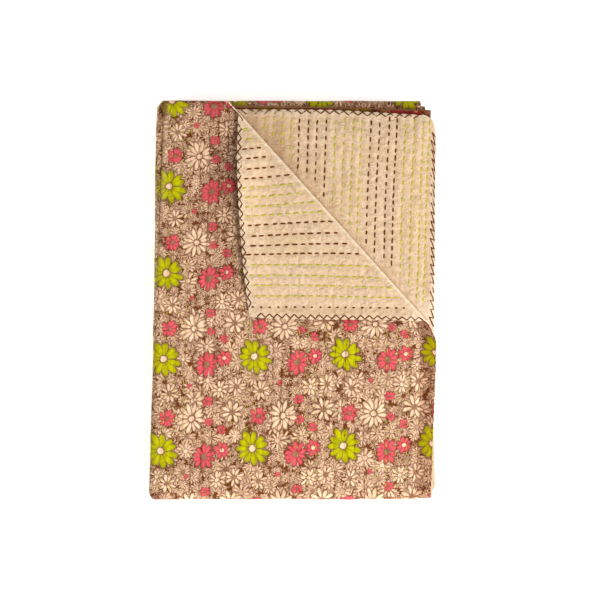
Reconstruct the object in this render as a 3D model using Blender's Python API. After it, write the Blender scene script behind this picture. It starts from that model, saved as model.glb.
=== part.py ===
"""A kantha quilt, folded in four both ways, with the upper corner of its top layer turned back.

Two cotton cloths lie back to back: a printed front and a plain back. They are made flat, on one grid
of stations, and every vertex is then folded twice. Folding across the quilt lays four layers on each
other as one slab. Folding along it lays that slab four times on itself.
Metres, +Z up. +Y runs along the folded quilt, towards its cut edges. The pile rests on z = 0.
"""

import math
from collections import namedtuple

import bmesh
import bpy
from mathutils import Vector

# The two cloths and how close their layers lie.
CLOTH_THICKNESS = 0.0010
CLOTH_GAP = 0.0003
LAYER_GAP = 0.0006
QUILT_THICKNESS = 2 * CLOTH_THICKNESS + CLOTH_GAP
LAYER_PITCH = QUILT_THICKNESS + LAYER_GAP
SLAB_THICKNESS = 3 * LAYER_PITCH + QUILT_THICKNESS
SLAB_PITCH = SLAB_THICKNESS + LAYER_GAP

# The folded size, and how far the lower cut side edge and the inner fold stop short of it.
FOLD_WIDTH = 0.359
LOWER_EDGE_SHORT = 0.001
INNER_FOLD_SHORT = 0.008

# The pile is this much thicker than its layers by its left folds, and by its head.
SWELL_LEFT = 0.035
SWELL_HEAD = 0.015

# The turned corner: its crease, seen from above, and how its cloth bends and settles.
CREASE_START = Vector((-0.0735, 0.2460))
CREASE_END = Vector((0.1815, -0.0360))
CREASE_RADIUS = 0.0022
CREASE_STEPS = 6
SETTLES_WITHIN = 0.045
EDGE_LIFT = 0.008
LIFT_WIDTH = 0.040
LIFT_LENGTH = 0.185

# Where each slab of four layers ends: how far it reaches along +Y, and its two side edges there.
End = namedtuple("End", "reach left right")
SLAB_ENDS = (
    End(reach=0.2615, left=-0.1717, right=0.1882),  # the cut edges, on top at the head
    End(reach=-0.2615, left=-0.1888, right=0.1842),  # first fold, at the foot
    End(reach=0.2615, left=-0.1770, right=0.1750),  # second fold, at the head
    End(reach=-0.2535, left=-0.1875, right=0.1890),  # third fold, at the foot
    End(reach=0.2576, left=-0.1822, right=0.1760),  # the cut edges underneath
)

# Stations along the top slab, and how far its uppermost cut side edge runs past the folded width
# at each of them. That edge bows in above the crease and out again where it is held down.
Cut = namedtuple("Cut", "share past")
TOP_STATIONS = (
    Cut(share=0.00, past=0.0054),
    Cut(share=0.06, past=0.0048),
    Cut(share=0.18, past=0.0010),
    Cut(share=0.38, past=-0.0070),
    Cut(share=0.51, past=-0.0104),
    Cut(share=0.57, past=0.0020),
    Cut(share=0.68, past=0.0010),
    Cut(share=1.00, past=-0.0034),
)
CUT_PAST = TOP_STATIONS[-1].past
LOWER_SHARES = (0.0, 0.33, 0.67, 1.0)
SLABS = len(SLAB_ENDS) - 1
SLAB_FOLD_STEPS = 6

# The four layers of a slab in the order the cloth runs through them, with the stations of each as
# distances from the slab's left side, and how far the head's cut edge is set back at each of them.
LEFT_CENTRE = 1.5 * LAYER_PITCH + QUILT_THICKNESS / 2
RIGHT_CENTRE = FOLD_WIDTH - INNER_FOLD_SHORT - (LAYER_PITCH + QUILT_THICKNESS) / 2
LOWER_EDGE = FOLD_WIDTH - LOWER_EDGE_SHORT
Layer = namedtuple("Layer", "level heading stations set_back fold_steps")
LAYERS = (
    Layer(
        level=3,
        heading=-1,
        stations=(FOLD_WIDTH, 0.300, 0.230, 0.160, 0.098, 0.086, 0.045, LEFT_CENTRE),
        set_back=(0.057, 0.0425, 0.0300, 0.0200, 0.0155, 0.0015, 0.0005, 0.0),
        fold_steps=5,
    ),
    Layer(
        level=0,
        heading=1,
        stations=(LEFT_CENTRE, 0.120, 0.240, RIGHT_CENTRE),
        set_back=(0.0, 0.006, 0.008, 0.011),
        fold_steps=4,
    ),
    Layer(
        level=1,
        heading=-1,
        stations=(RIGHT_CENTRE, 0.240, 0.120, LEFT_CENTRE),
        set_back=(0.013, 0.010, 0.009, 0.008),
        fold_steps=4,
    ),
    Layer(
        level=2,
        heading=1,
        stations=(LEFT_CENTRE, 0.098, 0.220, 0.345, 0.352, 0.356, LOWER_EDGE),
        set_back=(0.009, 0.0115, 0.012, 0.0190, 0.024, 0.032, 0.052),
        fold_steps=0,
    ),
)
TURNED_ACROSS = len(LAYERS[0].stations) - 1
TURNED_ALONG = len(TOP_STATIONS) - 1

# How far each cloth's middle lies from the quilt's middle, towards the printed face.
CLOTH_OFFSET = (CLOTH_THICKNESS + CLOTH_GAP) / 2
CLOTHS = {
    "front_panel": (CLOTH_OFFSET, (0.52, 0.31, 0.22, 1.0), 0.88),
    "back_panel": (-CLOTH_OFFSET, (0.78, 0.60, 0.38, 1.0), 0.92),
}

Station = namedtuple("Station", "place height heading rise extra")


def fold_stations(start, level, next_level, heading, steps, extra):
    """Stations round a half circle that carries the cloth from one height to the next."""
    radius = abs(next_level - level) / 2
    sense = math.copysign(1, next_level - level)
    found = []
    for step in range(1, steps):
        turn = math.pi * step / steps
        found.append(
            Station(
                place=start + heading * radius * math.sin(turn),
                height=level + sense * radius * (1 - math.cos(turn)),
                heading=heading * math.cos(turn),
                rise=sense * math.sin(turn),
                extra=extra,
            )
        )
    return found


def across_stations():
    """The path of the quilt's middle through the four layers of a slab, from its upper cut edge."""
    path = []
    for number, layer in enumerate(LAYERS):
        height = layer.level * LAYER_PITCH + QUILT_THICKNESS / 2
        for place, set_back in zip(layer.stations, layer.set_back):
            path.append(Station(place, height, layer.heading, 0.0, set_back))
        if layer.fold_steps:
            after = LAYERS[number + 1]
            next_height = after.level * LAYER_PITCH + QUILT_THICKNESS / 2
            path += fold_stations(
                layer.stations[-1],
                height,
                next_height,
                layer.heading,
                layer.fold_steps,
                (layer.set_back[-1] + after.set_back[0]) / 2,
            )
    return path


def along_stations():
    """The path of a slab's middle through the pile, from its cut edges at the head."""
    fold_reach = SLAB_PITCH / 2 + SLAB_THICKNESS / 2
    path = []
    last = SLABS - 1
    for number in range(SLABS):
        start = SLAB_ENDS[number]
        end = SLAB_ENDS[number + 1]
        heading = -1 if number % 2 == 0 else 1
        first_place = start.reach if number == 0 else start.reach + heading * fold_reach
        last_place = end.reach if number == last else end.reach - heading * fold_reach
        height = (last - number) * SLAB_PITCH + SLAB_THICKNESS / 2
        cuts = TOP_STATIONS if number == 0 else [Cut(share, CUT_PAST) for share in LOWER_SHARES]
        for share, past in cuts:
            place = first_place + share * (last_place - first_place)
            left = start.left + share * (end.left - start.left)
            right = start.right + share * (end.right - start.right)
            path.append(Station(place, height, heading, 0.0, (left, right, past)))
        if number < last:
            path += fold_stations(
                last_place,
                height,
                height - SLAB_PITCH,
                heading,
                SLAB_FOLD_STEPS,
                (end.left, end.right, CUT_PAST),
            )
    return path


ACROSS = across_stations()
ALONG = along_stations()


def blended(path, at):
    """The station at a fractional position along a path."""
    low = min(int(at), len(path) - 2)
    share = at - low
    a, b = path[low], path[low + 1]

    def between(p, q):
        return p + (q - p) * share

    extra = (
        tuple(between(p, q) for p, q in zip(a.extra, b.extra))
        if isinstance(a.extra, tuple)
        else between(a.extra, b.extra)
    )
    return Station(
        between(a.place, b.place),
        between(a.height, b.height),
        between(a.heading, b.heading),
        between(a.rise, b.rise),
        extra,
    )


def laid(across, along, offset):
    """Where a point of the quilt lies once folded, before the corner is turned."""
    layer = blended(ACROSS, across)
    slab = blended(ALONG, along)
    left, right, past = slab.extra
    over_left = layer.place + offset * layer.rise
    if across < 1:
        over_left += past * (1 - across)
    up_slab = layer.height - offset * layer.heading - SLAB_THICKNESS / 2
    x = left + over_left * (right - left) / FOLD_WIDTH
    y = slab.place + up_slab * slab.rise
    z = slab.height - up_slab * slab.heading
    if along <= TURNED_ALONG:
        foot = ALONG[TURNED_ALONG].place
        head = ALONG[0].place
        y -= layer.extra * (slab.place - foot) / (head - foot)
    return Vector((x, y, z))


def smooth(share):
    """0 to 1, starting and ending level."""
    share = min(1.0, max(0.0, share))
    return share * share * (3 - 2 * share)


def turned(point):
    """A point of the top layer's corner after it is turned back over the crease."""
    along = (CREASE_END - CREASE_START).normalized()
    out = Vector((-along.y, along.x))
    start = CREASE_START - out * (CREASE_RADIUS + QUILT_THICKNESS / 2)
    flat = Vector((point.x, point.y))
    past = (flat - start).dot(out)
    if past <= 0:
        return point
    middle = ALONG[0].height + ACROSS[0].height - SLAB_THICKNESS / 2
    offset = point.z - middle
    arc = math.pi * CREASE_RADIUS
    turn = min(past, arc) / CREASE_RADIUS
    beyond = max(0.0, past - arc)
    moved = (CREASE_RADIUS - offset) * math.sin(turn) - beyond
    flat += out * (moved - past)
    height = CREASE_RADIUS - (CREASE_RADIUS - offset) * math.cos(turn)
    height -= (2 * CREASE_RADIUS - LAYER_PITCH) * smooth(beyond / SETTLES_WITHIN)
    down_edge = (CREASE_START.y - flat.y) / LIFT_LENGTH
    from_edge = (flat.x - CREASE_START.x) / LIFT_WIDTH
    if 0 < down_edge < 1 and beyond > 0:
        height += EDGE_LIFT * math.sin(math.pi * down_edge) ** 2 * smooth(1 - from_edge)
    return Vector((flat.x, flat.y, middle + height))


def swollen(point):
    """The pile is thicker by its folds than by its cut edges."""
    half_width, half_length = FOLD_WIDTH / 2, SLAB_ENDS[0].reach
    swell = 1 - SWELL_LEFT * point.x / half_width + SWELL_HEAD * point.y / half_length
    return Vector((point.x, point.y, point.z * swell))


def cut_corner(bm, across, along):
    """Cuts the top layer's corner where it will bend, along lines beside the crease."""
    direction = (CREASE_END - CREASE_START).normalized()
    out = Vector((-direction.y, direction.x, 0.0))
    start = CREASE_START.to_3d() - out * (CREASE_RADIUS + QUILT_THICKNESS / 2)
    for step in range(CREASE_STEPS + 1):
        faces = [
            f
            for f in bm.faces
            if all(
                v[across] <= TURNED_ACROSS + 0.001 and v[along] <= TURNED_ALONG + 0.001
                for v in f.verts
            )
        ]
        edges = {e for f in faces for e in f.edges}
        verts = {v for f in faces for v in f.verts}
        bmesh.ops.bisect_plane(
            bm,
            geom=list(verts) + list(edges) + faces,
            plane_co=start + out * (math.pi * CREASE_RADIUS * step / CREASE_STEPS),
            plane_no=out,
            dist=0.00001,
        )


def folded_cloth(name, middle):
    """One cloth of the quilt as a closed sheet: laid flat, given its thickness, then folded."""
    bm = bmesh.new()
    across = bm.verts.layers.float.new("across")
    along = bm.verts.layers.float.new("along")
    last_across, last_along = len(ACROSS) - 1, len(ALONG) - 1
    bmesh.ops.create_grid(bm, x_segments=last_across, y_segments=last_along, size=0.5)
    for v in bm.verts:
        v[across] = round((v.co.x + 0.5) * last_across)
        v[along] = round((v.co.y + 0.5) * last_along)
        v.co = laid(v[across], v[along], 0.0)
    cut_corner(bm, across, along)
    bmesh.ops.triangulate(bm, faces=bm.faces[:], quad_method="SHORT_EDGE", ngon_method="BEAUTY")
    raised = bmesh.ops.extrude_face_region(bm, geom=bm.faces[:], use_keep_orig=True)["geom"]
    upper = {v for v in raised if isinstance(v, bmesh.types.BMVert)}
    for v in bm.verts:
        offset = middle + (CLOTH_THICKNESS if v in upper else -CLOTH_THICKNESS) / 2
        place = laid(v[across], v[along], offset)
        if v[across] <= TURNED_ACROSS and v[along] <= TURNED_ALONG:
            place = turned(place)
        v.co = swollen(place)
    bmesh.ops.recalc_face_normals(bm, faces=bm.faces[:])
    mesh = bpy.data.meshes.new(name)
    bm.to_mesh(mesh)
    bm.free()
    return mesh


def material(name, colour, roughness):
    made = bpy.data.materials.new(name)
    made.use_nodes = True
    shader = made.node_tree.nodes["Principled BSDF"]
    shader.inputs["Base Color"].default_value = colour
    shader.inputs["Roughness"].default_value = roughness
    shader.inputs["Metallic"].default_value = 0.0
    return made


def centre(objects):
    """Brings the middle of the pile's outline over the origin."""
    corners = [v.co for o in objects for v in o.data.vertices]
    lowest = Vector([min(c[k] for c in corners) for k in range(3)])
    highest = Vector([max(c[k] for c in corners) for k in range(3)])
    middle = (lowest + highest) / 2
    for o in objects:
        for v in o.data.vertices:
            v.co -= Vector((middle.x, middle.y, lowest.z))


def main():
    for old in list(bpy.data.objects):
        bpy.data.objects.remove(old)
    collection = bpy.data.collections.new("kantha_quilt")
    bpy.context.scene.collection.children.link(collection)
    objects = []
    for name, (middle, colour, roughness) in CLOTHS.items():
        cloth = bpy.data.objects.new(name, folded_cloth(name, middle))
        cloth.data.materials.append(material(name, colour, roughness))
        collection.objects.link(cloth)
        objects.append(cloth)
    centre(objects)


if __name__ == "__main__":
    main()
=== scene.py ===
import math
from collections import namedtuple

import bmesh
import bpy
import numpy as np
from mathutils import Matrix, Vector, noise


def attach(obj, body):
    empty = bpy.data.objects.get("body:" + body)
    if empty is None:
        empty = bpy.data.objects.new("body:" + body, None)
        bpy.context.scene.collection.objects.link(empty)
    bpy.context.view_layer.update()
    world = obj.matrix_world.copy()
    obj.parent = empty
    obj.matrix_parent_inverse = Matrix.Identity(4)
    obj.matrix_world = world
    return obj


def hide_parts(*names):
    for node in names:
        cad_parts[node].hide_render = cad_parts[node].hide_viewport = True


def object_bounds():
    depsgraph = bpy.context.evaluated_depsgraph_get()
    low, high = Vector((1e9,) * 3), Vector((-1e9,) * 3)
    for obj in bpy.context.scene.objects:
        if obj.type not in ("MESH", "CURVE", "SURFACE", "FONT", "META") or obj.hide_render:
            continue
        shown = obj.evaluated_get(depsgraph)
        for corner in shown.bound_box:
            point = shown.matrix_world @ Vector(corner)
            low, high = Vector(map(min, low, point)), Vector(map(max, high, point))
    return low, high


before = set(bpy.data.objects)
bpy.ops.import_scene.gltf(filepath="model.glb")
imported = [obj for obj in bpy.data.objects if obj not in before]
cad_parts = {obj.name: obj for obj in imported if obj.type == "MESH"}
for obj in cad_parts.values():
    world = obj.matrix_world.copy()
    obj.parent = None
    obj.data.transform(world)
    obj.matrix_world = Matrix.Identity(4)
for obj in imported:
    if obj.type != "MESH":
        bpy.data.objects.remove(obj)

CAD_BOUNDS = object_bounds()

bl_info = {
    "name": "Folded kantha quilt",
    "version": (1, 0, 0),
    "blender": (4, 5, 0),
    "location": "3D View > Sidebar > Quilt",
    "description": "Sews, folds and finishes a kantha quilt with one corner turned back",
    "category": "Object",
}

# ---------------------------------------------------------------------------------------------
# The fold, in metres. A flat point of the quilt is (u, v, h): u runs across it from the cut edge
# that ends up on top, v runs along it from its head, and h is up from its middle to the print.

CLOTH_THICKNESS = 0.0010
CLOTH_GAP = 0.0003
LAYER_GAP = 0.0006
QUILT_THICKNESS = 2 * CLOTH_THICKNESS + CLOTH_GAP
LAYER_PITCH = QUILT_THICKNESS + LAYER_GAP
SLAB_THICKNESS = 3 * LAYER_PITCH + QUILT_THICKNESS
SLAB_PITCH = SLAB_THICKNESS + LAYER_GAP
SLAB_FOLD_REACH = SLAB_PITCH / 2 + SLAB_THICKNESS / 2
SKIN = QUILT_THICKNESS / 2
CLOTH_MIDDLE = (CLOTH_THICKNESS + CLOTH_GAP) / 2

FOLD_WIDTH = 0.359
RIGHT_SIDE_IN = 0.008
LOWER_EDGE_IN = 0.001
LEFT_CENTRE = 1.5 * LAYER_PITCH + SKIN
RIGHT_CENTRE = FOLD_WIDTH - RIGHT_SIDE_IN - LAYER_PITCH / 2 - SKIN
LOWER_EDGE = FOLD_WIDTH - LOWER_EDGE_IN

# The four layers of a slab, in the order the cloth runs through them.
Layer = namedtuple("Layer", "level start end")
LAYERS = (
    Layer(level=3, start=FOLD_WIDTH, end=LEFT_CENTRE),
    Layer(level=0, start=LEFT_CENTRE, end=RIGHT_CENTRE),
    Layer(level=1, start=RIGHT_CENTRE, end=LEFT_CENTRE),
    Layer(level=2, start=LEFT_CENTRE, end=LOWER_EDGE),
)

# Where each slab of four layers ends: how far it reaches along +Y, and its two side edges there.
End = namedtuple("End", "reach left right")
SLAB_ENDS = (
    End(reach=0.2615, left=-0.1717, right=0.1882),
    End(reach=-0.2615, left=-0.1888, right=0.1842),
    End(reach=0.2615, left=-0.1770, right=0.1750),
    End(reach=-0.2535, left=-0.1875, right=0.1890),
    End(reach=0.2576, left=-0.1822, right=0.1760),
)
SLABS = len(SLAB_ENDS) - 1

# How far the cut edge at the head is set back, layer by layer.
Cut = namedtuple("Cut", "layer place set_back")
HEAD_CUTS = (
    Cut(0, FOLD_WIDTH, 0.0570),
    Cut(0, 0.300, 0.0425),
    Cut(0, 0.230, 0.0300),
    Cut(0, 0.160, 0.0200),
    Cut(0, 0.098, 0.0155),
    Cut(0, 0.086, 0.0015),
    Cut(0, 0.045, 0.0005),
    Cut(0, LEFT_CENTRE, 0.0),
    Cut(1, LEFT_CENTRE, 0.0),
    Cut(1, 0.120, 0.006),
    Cut(1, 0.240, 0.008),
    Cut(1, RIGHT_CENTRE, 0.011),
    Cut(2, RIGHT_CENTRE, 0.013),
    Cut(2, 0.240, 0.010),
    Cut(2, 0.120, 0.009),
    Cut(2, LEFT_CENTRE, 0.008),
    Cut(3, LEFT_CENTRE, 0.009),
    Cut(3, 0.098, 0.0115),
    Cut(3, 0.220, 0.012),
    Cut(3, 0.345, 0.0190),
    Cut(3, 0.352, 0.024),
    Cut(3, 0.356, 0.032),
    Cut(3, LOWER_EDGE, 0.052),
)

# How far the top cut edge bows past the side of the slab, by its share of the way to the foot.
Bow = namedtuple("Bow", "share past")
SIDE_BOWS = (
    Bow(0.00, 0.0054),
    Bow(0.06, 0.0048),
    Bow(0.18, 0.0010),
    Bow(0.38, -0.0070),
    Bow(0.51, -0.0104),
    Bow(0.57, 0.0020),
    Bow(0.68, 0.0010),
    Bow(1.00, -0.0034),
)
BOW_WIDTH = 0.059

# The turned corner.
CREASE_START = np.array((-0.0735, 0.2460))
CREASE_END = np.array((0.1815, -0.0360))
CREASE_RADIUS = 0.0022
CREASE_CUTS = 10
SETTLES_WITHIN = 0.045
EDGE_LIFT = 0.008
LIFT_WIDTH = 0.040
LIFT_LENGTH = 0.185
SWELL_LEFT = 0.035
SWELL_HEAD = 0.015

FOLD_STEPS = 24


class Path:
    """A line of straight runs joined by half circles, read at any distance along it."""

    def __init__(self, runs):
        rows = []
        flat = 0.0
        for number, (start, end, height) in enumerate(runs):
            heading = math.copysign(1, end - start)
            rows.append((flat, start, height, heading, 0.0))
            flat += abs(end - start)
            rows.append((flat, end, height, heading, 0.0))
            if number + 1 == len(runs):
                break
            climb = runs[number + 1][2] - height
            radius = abs(climb) / 2
            sense = math.copysign(1, climb)
            for step in range(1, FOLD_STEPS):
                turn = math.pi * step / FOLD_STEPS
                rows.append(
                    (
                        flat + radius * turn,
                        end + heading * radius * math.sin(turn),
                        height + sense * radius * (1 - math.cos(turn)),
                        heading * math.cos(turn),
                        sense * math.sin(turn),
                    )
                )
            flat += radius * math.pi
        self.flat, self.place, self.height, self.heading, self.rise = np.array(rows).T
        self.length = flat
        self.run_starts = [self.flat[n * (FOLD_STEPS + 1)] for n in range(len(runs))]
        self.run_ends = [self.flat[n * (FOLD_STEPS + 1) + 1] for n in range(len(runs))]

    def at(self, flat):
        columns = (self.place, self.height, self.heading, self.rise)
        return [np.interp(flat, self.flat, column) for column in columns]


def slab_runs():
    """Where each slab of four layers starts and ends along +Y, and its height."""
    runs = []
    for number in range(SLABS):
        way = -1 if number % 2 == 0 else 1
        start = SLAB_ENDS[number].reach + (way * SLAB_FOLD_REACH if number else 0)
        last = number == SLABS - 1
        end = SLAB_ENDS[number + 1].reach - (0 if last else way * SLAB_FOLD_REACH)
        runs.append((start, end, (SLABS - 1 - number) * SLAB_PITCH + SLAB_THICKNESS / 2))
    return runs


ACROSS = Path([(layer.start, layer.end, layer.level * LAYER_PITCH + SKIN) for layer in LAYERS])
ALONG = Path(slab_runs())
TOP_WIDTH = ACROSS.run_ends[0]
TOP_LENGTH = ALONG.run_ends[0]
LOWER_START = ACROSS.run_starts[3]
TOP_MIDDLE = (SLABS - 1) * SLAB_PITCH + 3 * LAYER_PITCH + SKIN
TINY = 1e-5


def side_columns():
    """Distances along the quilt with the slab's left and right edge at each."""
    columns = []
    for number, end in enumerate(SLAB_ENDS):
        before = ALONG.run_ends[number - 1] if number else 0.0
        after = ALONG.run_starts[number] if number < SLABS else ALONG.length
        columns += [(before, end.left, end.right), (after, end.left, end.right)]
    return np.array(columns).T


SIDE_FLAT, SIDE_LEFT, SIDE_RIGHT = side_columns()
CUT_FLAT = [ACROSS.run_starts[c.layer] + abs(c.place - LAYERS[c.layer].start) for c in HEAD_CUTS]
CUT_BACK = [c.set_back for c in HEAD_CUTS]
BOW_FLAT = [b.share * TOP_LENGTH for b in SIDE_BOWS]
BOW_PAST = [b.past for b in SIDE_BOWS]

CREASE_ALONG = (CREASE_END - CREASE_START) / np.linalg.norm(CREASE_END - CREASE_START)
CREASE_OUT = np.array((-CREASE_ALONG[1], CREASE_ALONG[0]))
BEND_START = CREASE_START - CREASE_OUT * (CREASE_RADIUS + SKIN)
BEND_ARC = math.pi * CREASE_RADIUS


def smooth(share):
    """0 to 1, starting and ending level."""
    share = np.clip(share, 0.0, 1.0)
    return share * share * (3 - 2 * share)


def in_top(u, v, spare=TINY):
    """Whether a flat point is in the top layer."""
    return (u <= TOP_WIDTH + spare) & (v <= TOP_LENGTH + TINY)


def in_lower(u, v):
    """Whether a flat point is in the layer that shows beyond the crease."""
    return (u >= LOWER_START) & (v <= TOP_LENGTH)


def slab_sides(v):
    """The pile's left and right edges at distances along the quilt."""
    return np.interp(v, SIDE_FLAT, SIDE_LEFT), np.interp(v, SIDE_FLAT, SIDE_RIGHT)


def laid(u, v, h=0.0):
    """Folds flat points across and then along, before the corner is turned."""
    place, height, heading, rise = ACROSS.at(u)
    past = np.interp(v, BOW_FLAT, BOW_PAST)
    over = place + h * rise + past * np.clip(1 - u / BOW_WIDTH, 0, 1)
    up = height - h * heading - SLAB_THICKNESS / 2
    place, height, heading, rise = ALONG.at(v)
    left, right = slab_sides(v)
    x = left + over * (right - left) / FOLD_WIDTH
    set_back = np.interp(u, CUT_FLAT, CUT_BACK)
    y = place + up * rise - set_back * np.clip(1 - v / TOP_LENGTH, 0, 1)
    return np.stack((x, y, height - up * heading), axis=-1)


def past_crease(place):
    """How far a laid point is past the line where the corner starts to bend."""
    return (place[..., :2] - BEND_START) @ CREASE_OUT


def by_crease(place):
    """How far a laid point is down along the crease from its start, and off to its outer side."""
    from_start = place[..., :2] - CREASE_START
    return from_start @ CREASE_ALONG, from_start @ CREASE_OUT


def turned(place, on_top):
    """Turns the top layer's corner back over the crease."""
    past = past_crease(place)
    offset = place[..., 2] - TOP_MIDDLE
    turn = np.clip(past, 0, BEND_ARC) / CREASE_RADIUS
    beyond = np.maximum(0.0, past - BEND_ARC)
    moved = (CREASE_RADIUS - offset) * np.sin(turn) - beyond
    flat = place[..., :2] + CREASE_OUT * (moved - past)[..., None]
    height = CREASE_RADIUS - (CREASE_RADIUS - offset) * np.cos(turn)
    height = height - (2 * CREASE_RADIUS - LAYER_PITCH) * smooth(beyond / SETTLES_WITHIN)
    down_edge = np.clip((CREASE_START[1] - flat[..., 1]) / LIFT_LENGTH, 0, 1)
    from_edge = (flat[..., 0] - CREASE_START[0]) / LIFT_WIDTH
    lifts = np.sin(math.pi * down_edge) ** 2 * smooth(1 - from_edge)
    height = height + np.where(beyond > 0, EDGE_LIFT * lifts, 0.0)
    bent = np.concatenate((flat, (TOP_MIDDLE + height)[..., None]), axis=-1)
    return np.where((on_top & (past > 0))[..., None], bent, place)


def piled(u, v, h):
    """Where flat points lie in the pile, before it is centred."""
    place = turned(laid(u, v, h), in_top(u, v))
    half_width, half_length = FOLD_WIDTH / 2, SLAB_ENDS[0].reach
    swell = 1 - SWELL_LEFT * place[..., 0] / half_width + SWELL_HEAD * place[..., 1] / half_length
    place[..., 2] *= swell
    return place


def centring():
    """What brings the pile's outline over the frame's own box."""
    u, v = np.meshgrid(np.linspace(0, ACROSS.length, 900), np.linspace(0, ALONG.length, 1200))
    corners = [piled(u, v, h).reshape(-1, 3) for h in (-SKIN, SKIN)]
    low = np.min([c.min(0) for c in corners], axis=0)
    high = np.max([c.max(0) for c in corners], axis=0)
    middle = (np.array(CAD_BOUNDS[0]) + np.array(CAD_BOUNDS[1])) / 2
    shift = (low + high) / 2 - middle
    shift[2] = low[2] - CAD_BOUNDS[0][2]
    return shift


CENTRE = centring()


def folded(u, v, h):
    """Where flat points lie in the finished pile."""
    return piled(u, v, h) - CENTRE


# ---------------------------------------------------------------------------------------------
# The rows of running stitch, the puckers they raise and the sewn edge, over the flat quilt.

Row = namedtuple("Row", "place colour")
TOP_ROW_FIRST, TOP_ROW_PITCH = 0.0130, 0.0123
LOWER_ROW_FIRST, LOWER_ROW_PITCH = 0.0150, 0.0116
LOWER_ROW_BY_EDGE = 0.0084
MIDDLE_ROW_PITCH = 0.0128
ROWS_OF_A_COLOUR = 4
ROW_UNEVENNESS = 0.0008
ROWS_SEED = 11


def row_of(place, number):
    """One row of stitches; four rows of brown come before four of green, and so on."""
    return Row(place, ("brown", "green")[number // ROWS_OF_A_COLOUR % 2])


def sewn_rows():
    """The rows, from the top cut edge to the other one."""
    count = int((ACROSS.run_starts[1] - TOP_ROW_FIRST) / TOP_ROW_PITCH) + 1
    rows = [
        row_of(TOP_ROW_FIRST + n * TOP_ROW_PITCH, n + ROWS_OF_A_COLOUR - 1) for n in range(count)
    ]
    first = ACROSS.length - LOWER_ROW_FIRST
    count = int((ACROSS.length - LOWER_START - LOWER_ROW_FIRST) / LOWER_ROW_PITCH) + 1
    lower = [row_of(first - n * LOWER_ROW_PITCH, n + ROWS_OF_A_COLOUR + 1) for n in range(count)]
    start = rows[-1].place
    gap = lower[-1].place - start
    count = round(gap / MIDDLE_ROW_PITCH)
    rows += [row_of(start + n * gap / count, n) for n in range(1, count)]
    rows += [*reversed(lower), Row(ACROSS.length - LOWER_ROW_BY_EDGE, "green")]
    rng = np.random.default_rng(ROWS_SEED)
    return [Row(r.place + rng.uniform(-ROW_UNEVENNESS, ROW_UNEVENNESS), r.colour) for r in rows]


ROWS = sewn_rows()
ROW_PLACES = np.array([row.place for row in ROWS])

# Smooth random shapes: how high each is, how wide and long its swells are, and its seed.
Drift = namedtuple("Drift", "height across along seed")
ROWS_WANDER = Drift(0.0020, 0.11, 0.15, 3)
PRINT_RIDGES = Drift(0.0011, 0.02, 0.012, 5)
PRINT_PUCKERS = Drift(0.0007, 0.0085, 0.0060, 7)
PRINT_SWELLS = Drift(0.0010, 0.07, 0.06, 9)
CORNER_RIDGES = Drift(0.0009, 0.02, 0.012, 15)
CORNER_PUCKERS = Drift(0.0007, 0.010, 0.007, 17)
CORNER_CRINKLES = Drift(0.0007, 0.022, 0.030, 18)
CORNER_SWELLS = Drift(0.0014, 0.05, 0.035, 19)
LOWER_WRINKLES = Drift(0.0015, 0.060, 0.014, 21)
LOWER_RIDGES = Drift(0.0010, 0.02, 0.012, 25)
LOWER_PUCKERS = Drift(0.0006, 0.008, 0.0065, 27)
LOWER_TROUGHS = Drift(0.0016, 0.013, 0.075, 29)
GROOVE_WANDER = Drift(0.0010, 0.05, 0.05, 33)
SEED_APART = 7.31
DRIFT_STRETCH = 1.6


def drift(u, v, kind):
    """Smooth random values over the flat quilt, about -1 to 1."""
    points = zip(np.ravel(u) / kind.across, np.ravel(v) / kind.along)
    values = [noise.noise((a, b, kind.seed * SEED_APART)) for a, b in points]
    return np.array(values).reshape(np.shape(u)) * DRIFT_STRETCH


# The rows fan out up to the crease on the turned corner, and lean a little beyond it.
CREASE_RUN = 0.245
CREASE_ACROSS = 0.26
FAN_AT_EDGE = 0.02
FAN_GROWTH = 0.80
FAN_LIMIT = 0.19
LOWER_LEAN = 0.030


def sway(u, v):
    """How far the rows wander from straight at a flat point."""
    to_crease = np.clip(CREASE_RUN * (1 - u / CREASE_ACROSS), 0, CREASE_RUN)
    fan = np.clip(FAN_AT_EDGE + FAN_GROWTH * u, 0, FAN_LIMIT) * (u < CREASE_ACROSS)
    lean = LOWER_LEAN * np.minimum(v, CREASE_RUN) * (u > LOWER_START)
    wander = ROWS_WANDER.height * drift(u, v, ROWS_WANDER)
    return wander - fan * np.minimum(v, to_crease) + lean


def between_rows(u, v):
    """0 on a row of stitches, 1 midway between two."""
    at = u + sway(u, v)
    after = np.clip(np.searchsorted(ROW_PLACES, at), 1, len(ROWS) - 1)
    low, high = ROW_PLACES[after - 1], ROW_PLACES[after]
    share = np.clip((at - low) / (high - low), 0, 1)
    return np.sin(math.pi * share) ** 0.8


TOOTH_PITCH = 0.0122
TOOTH_DEPTH = 0.0065
SCALLOP = 0.0012
SCALLOP_WIDTH = 0.012
OUT_OF_CORNER = 0.05


def notch(along):
    """1 where the edging thread pulls the cut edge in, 0 midway between two stitches."""
    return np.abs(np.cos(math.pi * along / TOOTH_PITCH)) ** 0.8


def pulled_in(u, v):
    """Flat points with the cut edges drawn in by their edging."""
    near = np.clip(1 - u / SCALLOP_WIDTH, 0, 1)
    far = np.clip(1 - (ACROSS.length - u) / SCALLOP_WIDTH, 0, 1)
    head = np.clip(1 - v / SCALLOP_WIDTH, 0, 1)
    tail = np.clip(1 - (ALONG.length - v) / SCALLOP_WIDTH, 0, 1)
    return u + SCALLOP * notch(v) * (near - far), v + SCALLOP * notch(u) * (head - tail)


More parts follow.
